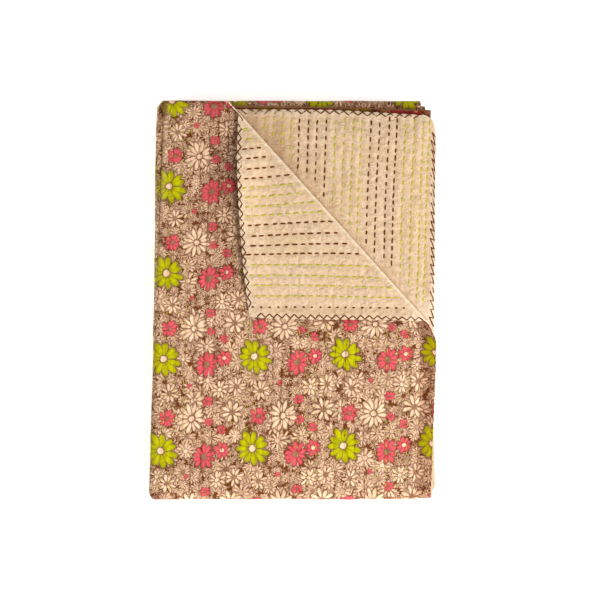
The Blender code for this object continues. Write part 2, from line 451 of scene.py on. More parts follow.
def under_corner(place):
    """How far a laid point of the top layer is inside the outline of the turned corner."""
    back = -past_crease(place)
    mirrored = place[..., :2] + CREASE_OUT * (2 * back + BEND_ARC)[..., None]
    down = SLAB_ENDS[0].reach - mirrored[..., 1]
    left, right = slab_sides(down)
    over = (mirrored[..., 0] - left) * FOLD_WIDTH / (right - left)
    past = np.interp(down, BOW_FLAT, BOW_PAST)
    u = FOLD_WIDTH - over
    set_back = np.interp(u, CUT_FLAT, CUT_BACK)
    return np.where(back > 0, np.minimum(u + past, down - set_back), OUT_OF_CORNER)


def edge_distance(u, v):
    """How far a flat point is from the nearest cut edge."""
    return np.minimum(np.minimum(u, ACROSS.length - u), np.minimum(v, ALONG.length - v))


# The distances over which a cloth that something holds flat comes free of it.
FREE_BY_EDGE = 0.006
FREE_BY_SLAB = 0.010
FREE_BY_CORNER = 0.008
FREE_BY_CREASE = 0.004
LOWER_FREE_BY_EDGE = 0.005
LOWER_FREE_BY_CREASE = 0.012
LOWER_SPARE = 0.006
CORNER_SPARE = 0.001
LEFT_FOLD_FREE = 0.8


def print_free(u, v):
    """How free the print side is to rise, from 0 where the pile holds it flat to 1."""
    place = laid(u, v)
    first, second, third = [
        smooth((v - ALONG.run_ends[n] + FREE_BY_SLAB) / FREE_BY_SLAB)
        * smooth((ALONG.run_starts[n + 1] - v) / FREE_BY_EDGE)
        for n in range(SLABS - 1)
    ]
    level = ACROSS.at(u)[1]
    outer = smooth((level - 2.4 * LAYER_PITCH) / LAYER_PITCH)
    inner = smooth((0.6 * LAYER_PITCH + SKIN - level) / LAYER_PITCH)
    top = smooth((ALONG.run_starts[1] - v) / FREE_BY_EDGE)
    top = top * smooth(-(under_corner(place) + CORNER_SPARE) / FREE_BY_CORNER)
    top = top * smooth((BEND_ARC / 2 - past_crease(place)) / FREE_BY_CREASE)
    left_fold = ACROSS.at(u)[3] * (u < ACROSS.run_starts[1])
    free = outer * np.where(v < ALONG.run_ends[0], top, np.maximum(first, third))
    free = np.maximum(free, inner * second)
    free = np.maximum(free, left_fold ** 2 * LEFT_FOLD_FREE)
    return free * smooth(edge_distance(u, v) / FREE_BY_EDGE)


def corner_free(u, v):
    """How free the turned corner is to rise off the pile."""
    past = past_crease(laid(u, v))
    return in_top(u, v) * smooth((past - BEND_ARC * 0.7) / FREE_BY_CORNER)


def lower_free(u, v):
    """How free the layer that shows beyond the crease is to rise."""
    past = past_crease(laid(u, v))
    by_edge = smooth(edge_distance(u, v) / LOWER_FREE_BY_EDGE)
    return in_lower(u, v) * smooth((past - LOWER_SPARE) / LOWER_FREE_BY_CREASE) * by_edge


SIDE_GROOVE = 0.0012
# How far in from the side groove the painted highlight lies, on the top fold's edge.
EDGE_HIGHLIGHT_IN = 0.0034
GROOVE_WIDTH = 0.0032
GROOVE_LENGTH = 0.22
GROOVE_LEAVES_BY = 0.30


def beside_groove(u, v, inward=0.0):
    """1 in the groove down the left side, where the fold beneath stands out past the top one.

    A distance inward moves the line in from the groove, onto the top fold's own edge.
    """
    place = laid(u, v)
    down = SLAB_ENDS[0].reach - place[..., 1]
    in_from_fold = place[..., 0] - slab_sides(down)[0]
    wander = GROOVE_WANDER.height * drift(v, v, GROOVE_WANDER)
    at = SIDE_GROOVE * smooth(1.25 - down / GROOVE_LEAVES_BY) + wander + inward
    off = np.abs(in_from_fold - at)
    line = smooth(1 - off / GROOVE_WIDTH) * smooth(1.3 - down / GROOVE_LENGTH)
    return in_top(u, v, 2 * GROOVE_WIDTH) * line


def ridged(u, v, kind, uneven=0.4):
    """How far the cloth stands up between the rows of stitches that hold it down."""
    return kind.height * between_rows(u, v) * (0.8 + uneven * drift(u, v, kind))


def heaved(u, v, kind):
    """How far the cloth stands up at random, from about 0 to the height of its kind."""
    return kind.height * (0.5 + 0.5 * drift(u, v, kind))


PRINT_BASE = 0.0006
CORNER_BASE = 0.0003
# The turned corner gapes by this much, this far down from the head and between its two sides.
GAPE = 0.0045
GAPE_DOWN = 0.050
GAPE_IN = 0.05
GAPE_ENDS = 0.27
GAPE_EASES = 0.08
# The layer beyond the crease swells to a mound, this far off the crease and in from its edge.
MOUND = 0.0030
MOUND_OFF = 0.075
MOUND_IN = 0.035
WRINKLE_LENGTH = 0.12


def print_relief(u, v):
    """How far the print side stands off the plain fold."""
    rise = ridged(u, v, PRINT_RIDGES) + heaved(u, v, PRINT_PUCKERS) + heaved(u, v, PRINT_SWELLS)
    return (rise + PRINT_BASE) * (1 - beside_groove(u, v))


def corner_relief(u, v):
    """How far the turned corner stands off the pile, which it gapes from at the head."""
    crinkle = np.clip(1 - np.abs(drift(u + v, u - v, CORNER_CRINKLES)), 0, 1) ** 3
    fine = ridged(u, v, CORNER_RIDGES, 0.35) + heaved(u, v, CORNER_PUCKERS)
    fine = (fine + CORNER_CRINKLES.height * crinkle) * smooth(edge_distance(u, v) / FREE_BY_EDGE)
    gape = smooth(1 - v / GAPE_DOWN) * smooth(u / GAPE_IN)
    gape = GAPE * gape * smooth((GAPE_ENDS - u) / GAPE_EASES)
    return fine + heaved(u, v, CORNER_SWELLS) + CORNER_BASE + gape


def lower_relief(u, v):
    """How far the layer beyond the crease stands up, with wrinkles that run off the crease."""
    down, off = by_crease(laid(u, v))
    wrinkle = np.clip(drift(down, off, LOWER_WRINKLES), 0, 1) * smooth(1 - off / WRINKLE_LENGTH)
    mound = smooth(off / MOUND_OFF) * smooth(edge_distance(u, v) / MOUND_IN)
    rise = ridged(u, v, LOWER_RIDGES) + heaved(u, v, LOWER_PUCKERS) + heaved(u, v, LOWER_TROUGHS)
    return rise + LOWER_WRINKLES.height * wrinkle + MOUND * mound


def lift(cloth, u, v):
    """How far a cloth's points move along h, its print side being up."""
    corner = corner_free(u, v)
    moved = np.where(corner > 0, -corner * corner_relief(u, v), 0.0)
    if cloth == "front":
        free = print_free(u, v)
        return moved + np.where(free > 0, free * print_relief(u, v), 0.0)
    free = lower_free(u, v)
    return moved - np.where(free > 0, free * lower_relief(u, v), 0.0)


def on_cloth(cloth, u, v, raised=0.0):
    """Points on a cloth's outer side, or raised above it."""
    outward = 1 if cloth == "front" else -1
    pulled_u, pulled_v = pulled_in(u, v)
    return folded(pulled_u, pulled_v, outward * (SKIN + raised) + lift(cloth, u, v))


# ---------------------------------------------------------------------------------------------
# The cloths.

COARSE = 0.0177
HIDDEN = 0.030
ARC_STEPS = 10
FINE_CUTS = 7
CREASE_REACH = 0.02
# How far the plain cloth shows, so how far it is divided finely.
CORNER_SHARE = 0.79
LOWER_HIDDEN = 0.085
CREAM_SHOWS = 0.306


def stations(path, run_steps):
    """Distances along a path for a grid's lines, with steps of a given length on each run."""
    places = []
    for start, end, step in zip(path.run_starts, path.run_ends, run_steps):
        if places:
            places += list(np.linspace(places[-1], start, ARC_STEPS + 1)[1:-1])
        places += list(np.linspace(start, end, max(1, round((end - start) / step)) + 1))
    return np.array(places)


def flat_grid(across, along):
    """A flat bmesh grid whose lines stand at the given distances, kept on its points."""
    bm = bmesh.new()
    u_layer = bm.verts.layers.float.new("u")
    v_layer = bm.verts.layers.float.new("v")
    bm.verts.layers.float.new("side")
    bmesh.ops.create_grid(bm, x_segments=len(across) - 1, y_segments=len(along) - 1, size=0.5)
    for vert in bm.verts:
        vert[u_layer] = across[round((vert.co.x + 0.5) * (len(across) - 1))]
        vert[v_layer] = along[round((vert.co.y + 0.5) * (len(along) - 1))]
    return bm, u_layer, v_layer


def refine(bm, u_layer, v_layer, u_range, v_range):
    """Divides the grid more finely where the cloth shows."""

    def inside(vert):
        return (
            u_range[0] - TINY <= vert[u_layer] <= u_range[1] + TINY
            and v_range[0] - TINY <= vert[v_layer] <= v_range[1] + TINY
        )

    edges = [e for e in bm.edges if inside(e.verts[0]) and inside(e.verts[1])]
    bmesh.ops.subdivide_edges(bm, edges=edges, cuts=FINE_CUTS, use_grid_fill=True)


def held_by(bm, layer):
    """What a layer holds for each point."""
    return np.array([vert[layer] for vert in bm.verts])


def move_to(bm, places):
    """Puts each point at its place."""
    for vert, place in zip(bm.verts, places):
        vert.co = place


def cut_crease(bm, u_layer, v_layer):
    """Cuts the top layer along lines beside the crease, so that it bends smoothly there."""
    for step in range(CREASE_CUTS + 1):
        on_line = BEND_START + CREASE_OUT * (BEND_ARC * step / CREASE_CUTS)
        faces = [
            f
            for f in bm.faces
            if all(in_top(w[u_layer], w[v_layer]) for w in f.verts)
            and min(abs((w.co.xy - Vector(on_line)).dot(Vector(CREASE_OUT))) for w in f.verts)
            < CREASE_REACH
        ]
        edges = {e for f in faces for e in f.edges}
        verts = {w for f in faces for w in f.verts}
        bmesh.ops.bisect_plane(
            bm,
            geom=[*verts, *edges, *faces],
            plane_co=Vector((*on_line, 0.0)),
            plane_no=Vector((*CREASE_OUT, 0.0)),
            dist=TINY,
        )


PRINT_SLANT = 0.028
# How far the quilting has drawn the print towards the foot, at distances from the head.
PRINT_DRAWN_AT = (0.0, 0.11, 0.22, 0.34, 0.46, 0.60)
PRINT_DRAWN = (0.0140, 0.0095, 0.0060, 0.0010, 0.0050, 0.0)
LENGTH_EASES_WITHIN = 0.10


def cloth_lengths(u, v):
    """v measured on the cloth itself, which is longer round the outside of each bend."""
    up = ACROSS.at(u)[1] - SLAB_THICKNESS / 2
    flats, turns = [0.0], [0.0]
    for number in range(SLABS - 1):
        start, end = ALONG.run_ends[number], ALONG.run_starts[number + 1]
        flats += [start, end, end + LENGTH_EASES_WITHIN]
        turns += [0.0, math.pi * (-1) ** number, 0.0]
    return v + up * np.interp(v, flats, turns)


def print_place(u, v):
    """Where a flat point falls on the print, which runs a little off the grain."""
    skew = np.interp(u, CUT_FLAT, CUT_BACK) * np.clip(1 - v / TOP_LENGTH, 0, 1)
    drawn = np.interp(v, PRINT_DRAWN_AT, PRINT_DRAWN)
    return u, cloth_lengths(u, v) + skew - drawn - PRINT_SLANT * (u - REPEAT_START[0])


# Reaches of the painted shadow beside the turned corner, the painted shade in the hollow along the
# crease and at the head, and the painted highlights along the crease and near its lower end.
SHADOW_WIDTH = 0.062
HOLLOW_WIDTH = 0.060
HOLLOW_LENGTH = 0.190
END_HIGHLIGHT_REACH = 0.055
CREASE_HIGHLIGHT_WIDTH = 0.0045
SHADOW_ENDS = -0.03
SHADOW_FADES = 0.10
HEAD_STRIP = 0.022

# How much painted shade each of these puts on a cloth.
CORNER_SHADE = 0.42
GROOVE_SHADE = 1.5
HOLLOW_SHADE = 2.6
CREVICE_SHADE = 1.6
HEAD_SHADE = {"front": 1.2, "back": 3.2}


def painted_corner_shadow(u, v):
    """Painted shadow of the turned corner: 1 on the top layer beside it, 0 well away from it."""
    place = laid(u, v)
    near = smooth(1 + under_corner(place) / SHADOW_WIDTH) * (past_crease(place) < 0)
    return np.where(in_top(u, v), near * smooth((place[..., 1] - SHADOW_ENDS) / SHADOW_FADES), 0.0)


def painted_hollow_shade(u, v):
    """Painted shade in the hollow along the crease on the layer beyond it: 1 there, 0 on open
    cloth.
    """
    down, off = by_crease(laid(u, v))
    hollow = smooth(1 - off / HOLLOW_WIDTH) * smooth(1.2 - down / HOLLOW_LENGTH) * (off > 0)
    streaks = 0.75 + 0.5 * drift(u, v, LOWER_TROUGHS)
    return np.where(in_lower(u, v), hollow * streaks, 0.0)


def crevice(cloth, u, v):
    """Where painted shade goes: 1 deep between the folded edges of the pile, 0 where the cloth is
    open to the light.
    """
    rise = np.abs(ACROSS.at(u)[3])
    in_fold = (u > ACROSS.run_ends[0]) & (u < ACROSS.run_starts[1])
    halfway = (ACROSS.run_ends[0] + ACROSS.run_starts[1]) / 2
    open_above = (v < ALONG.run_ends[0]) & (u < halfway)
    side = np.where(in_fold & ~open_above, (1 - rise) ** 1.5, 0.0)
    rise = np.abs(ALONG.at(v)[3])
    ends = np.zeros_like(u)
    for number in range(SLABS - 1):
        start, end = ALONG.run_ends[number], ALONG.run_starts[number + 1]
        inside = (v > start) & (v < end)
        if number == 0:
            inside &= v > (start + end) / 2
        ends = np.where(inside, (1 - rise) ** 1.5, ends)
    beyond = (u > ACROSS.run_ends[0]) & (u < LOWER_START) & (v < HEAD_STRIP)
    return np.maximum(np.maximum(side, ends), np.where(beyond, HEAD_SHADE[cloth], 0.0))


def shade_to_paint(cloth, u, v):
    """How much painted shade a cloth gets: along its stitch rows, in the hollows and between the
    folds.
    """
    tone = (1 - between_rows(u, v)) ** 2
    if cloth == "front":
        tone = tone + CORNER_SHADE * painted_corner_shadow(u, v) + GROOVE_SHADE * beside_groove(u, v)
    else:
        tone = tone + HOLLOW_SHADE * painted_hollow_shade(u, v)
    return np.maximum(tone, CREVICE_SHADE * crevice(cloth, u, v))


def highlight_to_paint(cloth, u, v):
    """How much painted highlight a cloth gets: on the edge by the side groove, along the crease
    and near its lower end.
    """
    if cloth == "front":
        return beside_groove(u, v, EDGE_HIGHLIGHT_IN)
    place = laid(u, v)
    off = np.abs(past_crease(place) - BEND_ARC * 0.55)
    painted_highlight = np.where(in_top(u, v), smooth(1 - off / CREASE_HIGHLIGHT_WIDTH), 0.0)
    from_end = np.linalg.norm(place[..., :2] - CREASE_END, axis=-1)
    return np.maximum(painted_highlight, 0.75 * smooth(1 - from_end / END_HIGHLIGHT_REACH))


def add_uv(mesh, name, across, along):
    """Gives a mesh a UV map from two values for each of its points."""
    corner = np.zeros(len(mesh.loops), np.int32)
    mesh.loops.foreach_get("vertex_index", corner)
    spread = np.stack((across, along), axis=-1)[corner].astype(np.float32)
    mesh.uv_layers.new(name=name).data.foreach_set("uv", spread.ravel())


def add_tone(mesh, name, values):
    """Gives a mesh an attribute with a value for each of its points."""
    layer = mesh.attributes.new(name, "FLOAT", "POINT")
    layer.data.foreach_set("value", values.astype(np.float32))


def in_scene(name, mesh):
    """A smooth object that holds a mesh, put in the scene."""
    mesh.shade_smooth()
    piece = bpy.data.objects.new(name, mesh)
    bpy.context.scene.collection.objects.link(piece)
    return piece


def mesh_from(bm, name):
    """A mesh made of a bmesh, which is done with."""
    mesh = bpy.data.meshes.new(name)
    bm.to_mesh(mesh)
    bm.free()
    return mesh


def sewn_cloth(name, cloth, u_steps, v_steps, fine):
    """One cloth of the quilt: cut flat, given its thickness, folded and puckered."""
    bm, u_layer, v_layer = flat_grid(stations(ACROSS, u_steps), stations(ALONG, v_steps))
    for u_range, v_range in fine:
        refine(bm, u_layer, v_layer, u_range, v_range)
    move_to(bm, laid(held_by(bm, u_layer), held_by(bm, v_layer)))
    cut_crease(bm, u_layer, v_layer)
    many = [f for f in bm.faces if len(f.verts) > 4]
    bmesh.ops.triangulate(bm, faces=many, quad_method="SHORT_EDGE", ngon_method="BEAUTY")
    raised = bmesh.ops.extrude_face_region(bm, geom=bm.faces[:], use_keep_orig=True)["geom"]
    side_layer = bm.verts.layers.float["side"]
    for item in raised:
        if isinstance(item, bmesh.types.BMVert):
            item[side_layer] = 1.0
    u, v, side = [held_by(bm, layer) for layer in (u_layer, v_layer, side_layer)]
    middle = CLOTH_MIDDLE if cloth == "front" else -CLOTH_MIDDLE
    h = middle + (side - 0.5) * CLOTH_THICKNESS + lift(cloth, u, v)
    move_to(bm, folded(*pulled_in(u, v), h))
    bmesh.ops.recalc_face_normals(bm, faces=bm.faces[:])
    mesh = mesh_from(bm, name)
    add_uv(mesh, "flat", u, cloth_lengths(u, v))
    if cloth == "front":
        add_uv(mesh, "print", *print_place(u, v))
    # Painted highlight, which the material reads to brighten the cloth.
    add_tone(mesh, "painted_highlight", highlight_to_paint(cloth, u, v))
    # Painted shade, which the material reads to darken the cloth.
    add_tone(mesh, "painted_shade", shade_to_paint(cloth, u, v))
    for layer in ("u", "v", "side"):
        mesh.attributes.remove(mesh.attributes[layer])
    piece = in_scene(name, mesh)
    mesh.set_sharp_from_angle(angle=math.radians(50))
    return piece


# ---------------------------------------------------------------------------------------------
# Thread.


def stitch_shape(segments=6, rings=4, taper=0.55, dip=0.9):
    """One stitch a unit each way: a tube along X that dips at both ends."""
    bm = bmesh.new()
    bmesh.ops.create_cone(
        bm, cap_ends=True, cap_tris=False, segments=segments, radius1=1, radius2=1, depth=2
    )
    along_x = Matrix.Rotation(math.pi / 2, 3, "Y")
    bmesh.ops.rotate(bm, verts=bm.verts[:], cent=(0, 0, 0), matrix=along_x)
    long_edges = [e for e in bm.edges if abs(e.verts[0].co.x - e.verts[1].co.x) > 1]
    bmesh.ops.subdivide_edges(bm, edges=long_edges, cuts=rings - 1)
    for vert in bm.verts:
        swell = 1.0 - taper * vert.co.x ** 4
        vert.co.y *= swell
        vert.co.z = vert.co.z * swell + dip * (0.55 - vert.co.x ** 4)
    bmesh.ops.recalc_face_normals(bm, faces=bm.faces[:])
    return mesh_from(bm, "stitch")


def laid_stitches(name, shape, frames):
    """One mesh of the same stitch laid over and over, a frame for each: centre and 3 axes."""
    co = np.zeros(len(shape.vertices) * 3)
    shape.vertices.foreach_get("co", co)
    co = co.reshape(-1, 3)
    faces = [list(p.vertices) for p in shape.polygons]
    centres = np.array([f[0] for f in frames])
    axes = np.array([f[1:] for f in frames])
    points = centres[:, None, :] + np.einsum("vk,nkx->nvx", co, axes)
    points[..., 2] = np.maximum(points[..., 2], 0.0)
    all_faces = [[i + n * len(co) for i in f] for n in range(len(frames)) for f in faces]
    mesh = bpy.data.meshes.new(name)
    mesh.from_pydata(points.reshape(-1, 3), [], all_faces)
    twist = np.repeat(np.arange(len(frames)) * TWIST_APART, len(co))
    add_uv(mesh, "thread", np.tile(co[:, 0], len(frames)), twist)
    return in_scene(name, mesh)


def thread_frame(start, end, up, width, height):
    """Axes of one stitch from start to end, standing up off the cloth."""
    run = end - start
    side = np.cross(up, run)
    side /= np.linalg.norm(side)
    normal = np.cross(run, side)
    normal /= np.linalg.norm(normal)
    return ((start + end) / 2, run / 2, side * width / 2, normal * height / 2)


ABOVE = 0.0005
TWIST_APART = 0.37
ROW_END_IN = 0.004
ROW_STEP = 0.001
SETTLING_ROUNDS = 5
SHORTEST_SPAN = 8
SEEN_ON_PRINT, SEEN_ON_CORNER, SEEN_ON_LOWER = 0.30, 0.12, 0.2


def row_spans(cloth, row):
    """Where a row shows on a cloth's outer side, as runs of neighbouring flat points."""
    v = np.arange(ROW_END_IN, ALONG.length - ROW_END_IN, ROW_STEP)
    u = np.full_like(v, row.place)
    for _ in range(SETTLING_ROUNDS):
        u = row.place - sway(u, v)
    u = np.clip(u, ABOVE, ACROSS.length - ABOVE)
    if cloth == "front":
        seen = print_free(u, v) > SEEN_ON_PRINT
    else:
        seen = (corner_free(u, v) > SEEN_ON_CORNER) | (lower_free(u, v) > SEEN_ON_LOWER)
    changes = np.flatnonzero(np.diff(seen)) + 1
    spans = np.split(np.column_stack((u, v)), changes)
    shown = seen[np.concatenate(([0], changes))]
    return [span for span, shows in zip(spans, shown) if shows and len(span) >= SHORTEST_SPAN]


def sewn_span(cloth, span, dash, pitch, phase, size, rng):
    """Frames for the stitches along one run, raised over the puckers that they cross."""
    steps = np.linalg.norm(np.diff(on_cloth(cloth, *span.T), axis=0), axis=1)
    far = np.concatenate(([0], np.cumsum(steps)))
    start = phase * rng.uniform(0.9, 1.1)
    starts = []
    while start + dash < far[-1] - 0.001:
        starts.append(start)
        start += pitch * rng.uniform(0.93, 1.07)
    if not starts:
        return []
    starts = np.array(starts)
    ends = starts + dash * rng.uniform(0.88, 1.1, len(starts))

    def at(stops, raised=0.0):
        return on_cloth(cloth, *[np.interp(stops, far, column) for column in span.T], raised)

    middles = at((starts + ends) / 2)
    ups = at((starts + ends) / 2, ABOVE) - middles
    frames = []
    for a, b, middle, up in zip(at(starts), at(ends), middles, ups):
        up = up / np.linalg.norm(up)
        bulge = up * max(0.0, np.dot(middle - (a + b) / 2, up))
        lean = rng.normal(0, 0.03) * np.cross(up, b - a)
        frames.append(thread_frame(a + bulge - lean, b + bulge + lean, up, *size))
    return frames


# How long and how thick a stitch shows on each cloth, as shares of its full size.
Shown = namedtuple("Shown", "length thickness")
SHOWN = {"front": Shown(0.85, 0.42), "back": Shown(1.0, 1.0)}
BY_EDGE_LENGTH = 0.5
STITCH_SEEDS = {"brown": 31, "green": 32}


def running_stitches(colour, finish):
    """Frames for every stitch of a colour that shows."""
    rng = np.random.default_rng(STITCH_SEEDS[colour])
    frames = []
    for row in [r for r in ROWS if r.colour == colour]:
        pitch = finish.stitch_pitch * rng.uniform(0.95, 1.08)
        phase = rng.uniform(0, pitch)
        for cloth, shown in SHOWN.items():
            dash = finish.stitch * shown.length * (BY_EDGE_LENGTH if row is ROWS[0] else 1.0)
            size = (finish.thread_width * shown.thickness, finish.thread_height * shown.thickness)
            for span in row_spans(cloth, row):
                frames += sewn_span(cloth, span, dash, pitch, phase, size, rng)
    return frames


def edge_points(kind, along, depth):
    """Flat points at a depth in from one of the four cut edges."""
    if kind == "top side":
        return depth, along
    if kind == "lower side":
        return ACROSS.length - depth, along
    if kind == "head":
        return along, depth
    return along, ALONG.length - depth


ON_EDGE = 0.0003
INSIDE_EDGE = 0.0025
EDGING_SEED = 41


def edging_frames(width, height):
    """Frames for the edging: a zigzag on the cream side, and a turn of thread round the edge."""
    frames = []
    rng = np.random.default_rng(EDGING_SEED)
    for kind in ("top side", "lower side", "head", "tail"):
        length = ALONG.length if "side" in kind else ACROSS.length
        stops = np.arange(1, int(length / TOOTH_PITCH) - 1) * TOOTH_PITCH
        tips = stops + TOOTH_PITCH * (0.5 + rng.uniform(-0.06, 0.06, len(stops)))
        deep = TOOTH_DEPTH * rng.uniform(0.85, 1.1, len(stops))
        spots = {
            "edge": edge_points(kind, stops, np.full_like(stops, ON_EDGE)),
            "tip": edge_points(kind, tips, deep),
            "next": edge_points(kind, stops + TOOTH_PITCH, np.full_like(stops, ON_EDGE)),
            "inside": edge_points(kind, stops, np.full_like(stops, INSIDE_EDGE)),
        }
        cream, printed = [
            {label: on_cloth(cloth, *spot) for label, spot in spots.items()}
            for cloth in ("back", "front")
        ]
        cream_up = on_cloth("back", *spots["tip"], ABOVE) - cream["tip"]
        print_up = on_cloth("front", *spots["inside"], ABOVE) - printed["inside"]
        outward = cream["edge"] + printed["edge"] - cream["inside"] - printed["inside"]
        zigzag = corner_free(*spots["inside"]) + lower_free(*spots["tip"]) * 3 > 0.5
        on_print = print_free(*spots["tip"]) > 0.5
        lines = (
            (zigzag, cream["edge"], cream["tip"], cream_up),
            (zigzag, cream["tip"], cream["next"], cream_up),
            (on_print, printed["edge"], printed["inside"], print_up),
            (np.full(len(stops), True), cream["edge"], printed["edge"], outward),
        )
        frames += [
            thread_frame(a[n], b[n], up[n], width, height)
            for n in range(len(stops))
            for shows, a, b, up in lines
            if shows[n]
        ]
    return frames


# ---------------------------------------------------------------------------------------------
# Materials.


def linear(red, green, blue):
    """A colour given as it looks on a screen, 0 to 255, for a shader."""
    channels = [c / 255 for c in (red, green, blue)]
    return (*[c / 12.92 if c < 0.04045 else ((c + 0.055) / 1.055) ** 2.4 for c in channels], 1.0)


class Shop:
    """Adds and joins nodes in one tree."""

    def __init__(self, tree):
        self.tree = tree

    def add(self, kind, **settings):
        node = self.tree.nodes.new(kind)
        for key, value in settings.items():
            setattr(node, key, value)
        return node

    def put(self, socket, value):
        if isinstance(value, bpy.types.NodeSocket):
            self.tree.links.new(value, socket)
        else:
            socket.default_value = value

    def math(self, operation, *values):
        node = self.add("ShaderNodeMath", operation=operation)
        for socket, value in zip(node.inputs, values):
            self.put(socket, value)
        return node.outputs[0]

    def times(self, a, b):
        return self.math("MULTIPLY", a, b)

    def plus(self, a, b):
        return self.math("ADD", a, b)

    def minus(self, a, b):
        return self.math("SUBTRACT", a, b)

    def over(self, a, b):
        return self.math("DIVIDE", a, b)

    def vector(self, operation, *values):
        node = self.add("ShaderNodeVectorMath", operation=operation)
        for socket, value in zip(node.inputs, values):
            self.put(socket, value)
        return node.outputs["Value" if operation == "LENGTH" else "Vector"]

    def scaled(self, vector, by):
        node = self.add("ShaderNodeVectorMath", operation="SCALE")
        self.put(node.inputs[0], vector)
        self.put(node.inputs["Scale"], by)
        return node.outputs["Vector"]

    def split(self, vector):
        node = self.add("ShaderNodeSeparateXYZ")
        self.put(node.inputs[0], vector)
        return node.outputs

    def ramp(self, value, low, high, out_low=0.0, out_high=1.0):
        node = self.add("ShaderNodeMapRange", interpolation_type="SMOOTHSTEP")
        for socket, given in zip(node.inputs, (value, low, high, out_low, out_high)):
            self.put(socket, given)
        return node.outputs[0]

    def mix(self, factor, a, b, blend="MIX"):
        node = self.add("ShaderNodeMix", data_type="RGBA", blend_type=blend)
        colours = [s for s in node.inputs if s.type == "RGBA"]
        for socket, value in zip((node.inputs["Factor"], *colours), (factor, a, b)):
            self.put(socket, value)
        return next(s for s in node.outputs if s.type == "RGBA")

    def toward(self, colour, other, mask, share):
        """Moves a colour a share of the way to another, where a mask is 1."""
        return self.mix(self.times(mask, share), colour, other)

    def multiplied(self, colour, other):
        return self.mix(1.0, colour, other, "MULTIPLY")

    def noise(self, coordinate, scale, detail=2.0, roughness=0.5, output="Fac"):
        node = self.add("ShaderNodeTexNoise")
        given = {"Vector": coordinate, "Scale": scale, "Detail": detail, "Roughness": roughness}
        for label, value in given.items():
            self.put(node.inputs[label], value)
        return node.outputs[output]

    def uv(self, name):
        return self.add("ShaderNodeUVMap", uv_map=name).outputs["UV"]

    def tone(self, name):
        return self.add("ShaderNodeAttribute", attribute_name=name).outputs["Fac"]

    def group(self, made, **values):
        node = self.add("ShaderNodeGroup", node_tree=made)
        for name, value in values.items():
            self.put(node.inputs[name], value)
        return node.outputs


def new_group(name, inputs, outputs):
    """An empty node group with its sockets, and a shop to fill it."""
    tree = bpy.data.node_groups.new(name, "ShaderNodeTree")
    kinds = {"value": "NodeSocketFloat", "vector": "NodeSocketVector", "colour": "NodeSocketColor"}
    for label, kind, default in inputs:
        socket = tree.interface.new_socket(label, in_out="INPUT", socket_type=kinds[kind])
        if default is not None:
            socket.default_value = default
    for label, kind in outputs:
        tree.interface.new_socket(label, in_out="OUTPUT", socket_type=kinds[kind])
    shop = Shop(tree)
    return tree, shop, shop.add("NodeGroupInput").outputs, shop.add("NodeGroupOutput").inputs


def flower_group():
    """A daisy: masks of its petals and its eye, and how near a petal's middle line is."""
    tree, s, given, out = new_group(
        "daisy",
        [
            ("Place", "vector", None),
            ("Radius", "value", 0.01),
            ("Petals", "value", 9.0),
            ("Turn", "value", 0.0),
            ("Width", "value", 0.2),
            ("Eye", "value", 0.2),
        ],
        [("Petal", "value"), ("Line", "value"), ("Eye", "value"), ("Middle", "value")],
    )
    axes = s.split(given["Place"])
    reach = s.over(s.vector("LENGTH", given["Place"]), given["Radius"])
    angle = s.plus(s.math("ARCTAN2", axes[1], axes[0]), math.pi)
    turns = s.over(s.times(angle, given["Petals"]), math.tau)
    pair = s.add("ShaderNodeCombineXYZ")
    s.put(pair.inputs[0], s.math("FLOOR", turns))
    s.put(pair.inputs[1], given["Turn"])
    chance = s.add("ShaderNodeTexWhiteNoise", noise_dimensions="2D")
    s.put(chance.inputs["Vector"], pair.outputs[0])
    chances = s.add("ShaderNodeSeparateColor")
    s.put(chances.inputs[0], chance.outputs["Color"])
    # Each petal leans and is as long as its own chance has it.
    lean = s.times(s.minus(chances.outputs[0], 0.5), 0.3)
    part = s.minus(s.minus(s.math("FRACT", turns), 0.5), lean)
    off = s.times(part, s.over(math.tau, given["Petals"]))
    ahead = s.times(reach, s.math("COSINE", off))
    aside = s.times(reach, s.math("SINE", off))
    length = s.ramp(chances.outputs[1], 0.0, 1.0, 0.30, 0.41)
    ahead = s.over(s.minus(ahead, s.plus(length, 0.2)), length)
    spoon = s.times(given["Width"], s.plus(0.6, s.times(reach, 0.6)))
    aside = s.over(aside, spoon)
    near = s.plus(s.times(ahead, ahead), s.times(aside, aside))
    s.put(out["Petal"], s.ramp(near, 1.10, 0.80))
    s.put(out["Line"], s.ramp(near, 2.1, 1.2))
    s.put(out["Eye"], s.ramp(reach, s.times(given["Eye"], 1.10), s.times(given["Eye"], 0.90)))
    s.put(out["Middle"], s.ramp(near, 0.95, 0.1))
    return tree


def size_of(name, description, default, low, high):
    """A length that the user may change."""
    return bpy.props.FloatProperty(
        name=name, description=description, default=default, min=low, max=high,
        unit="LENGTH", subtype="DISTANCE",
    )


def colour_of(name, description, *shade):
    """A colour that the user may change."""
    return bpy.props.FloatVectorProperty(
        name=name, description=description, default=linear(*shade),
        size=4, min=0, max=1, subtype="COLOR",
    )


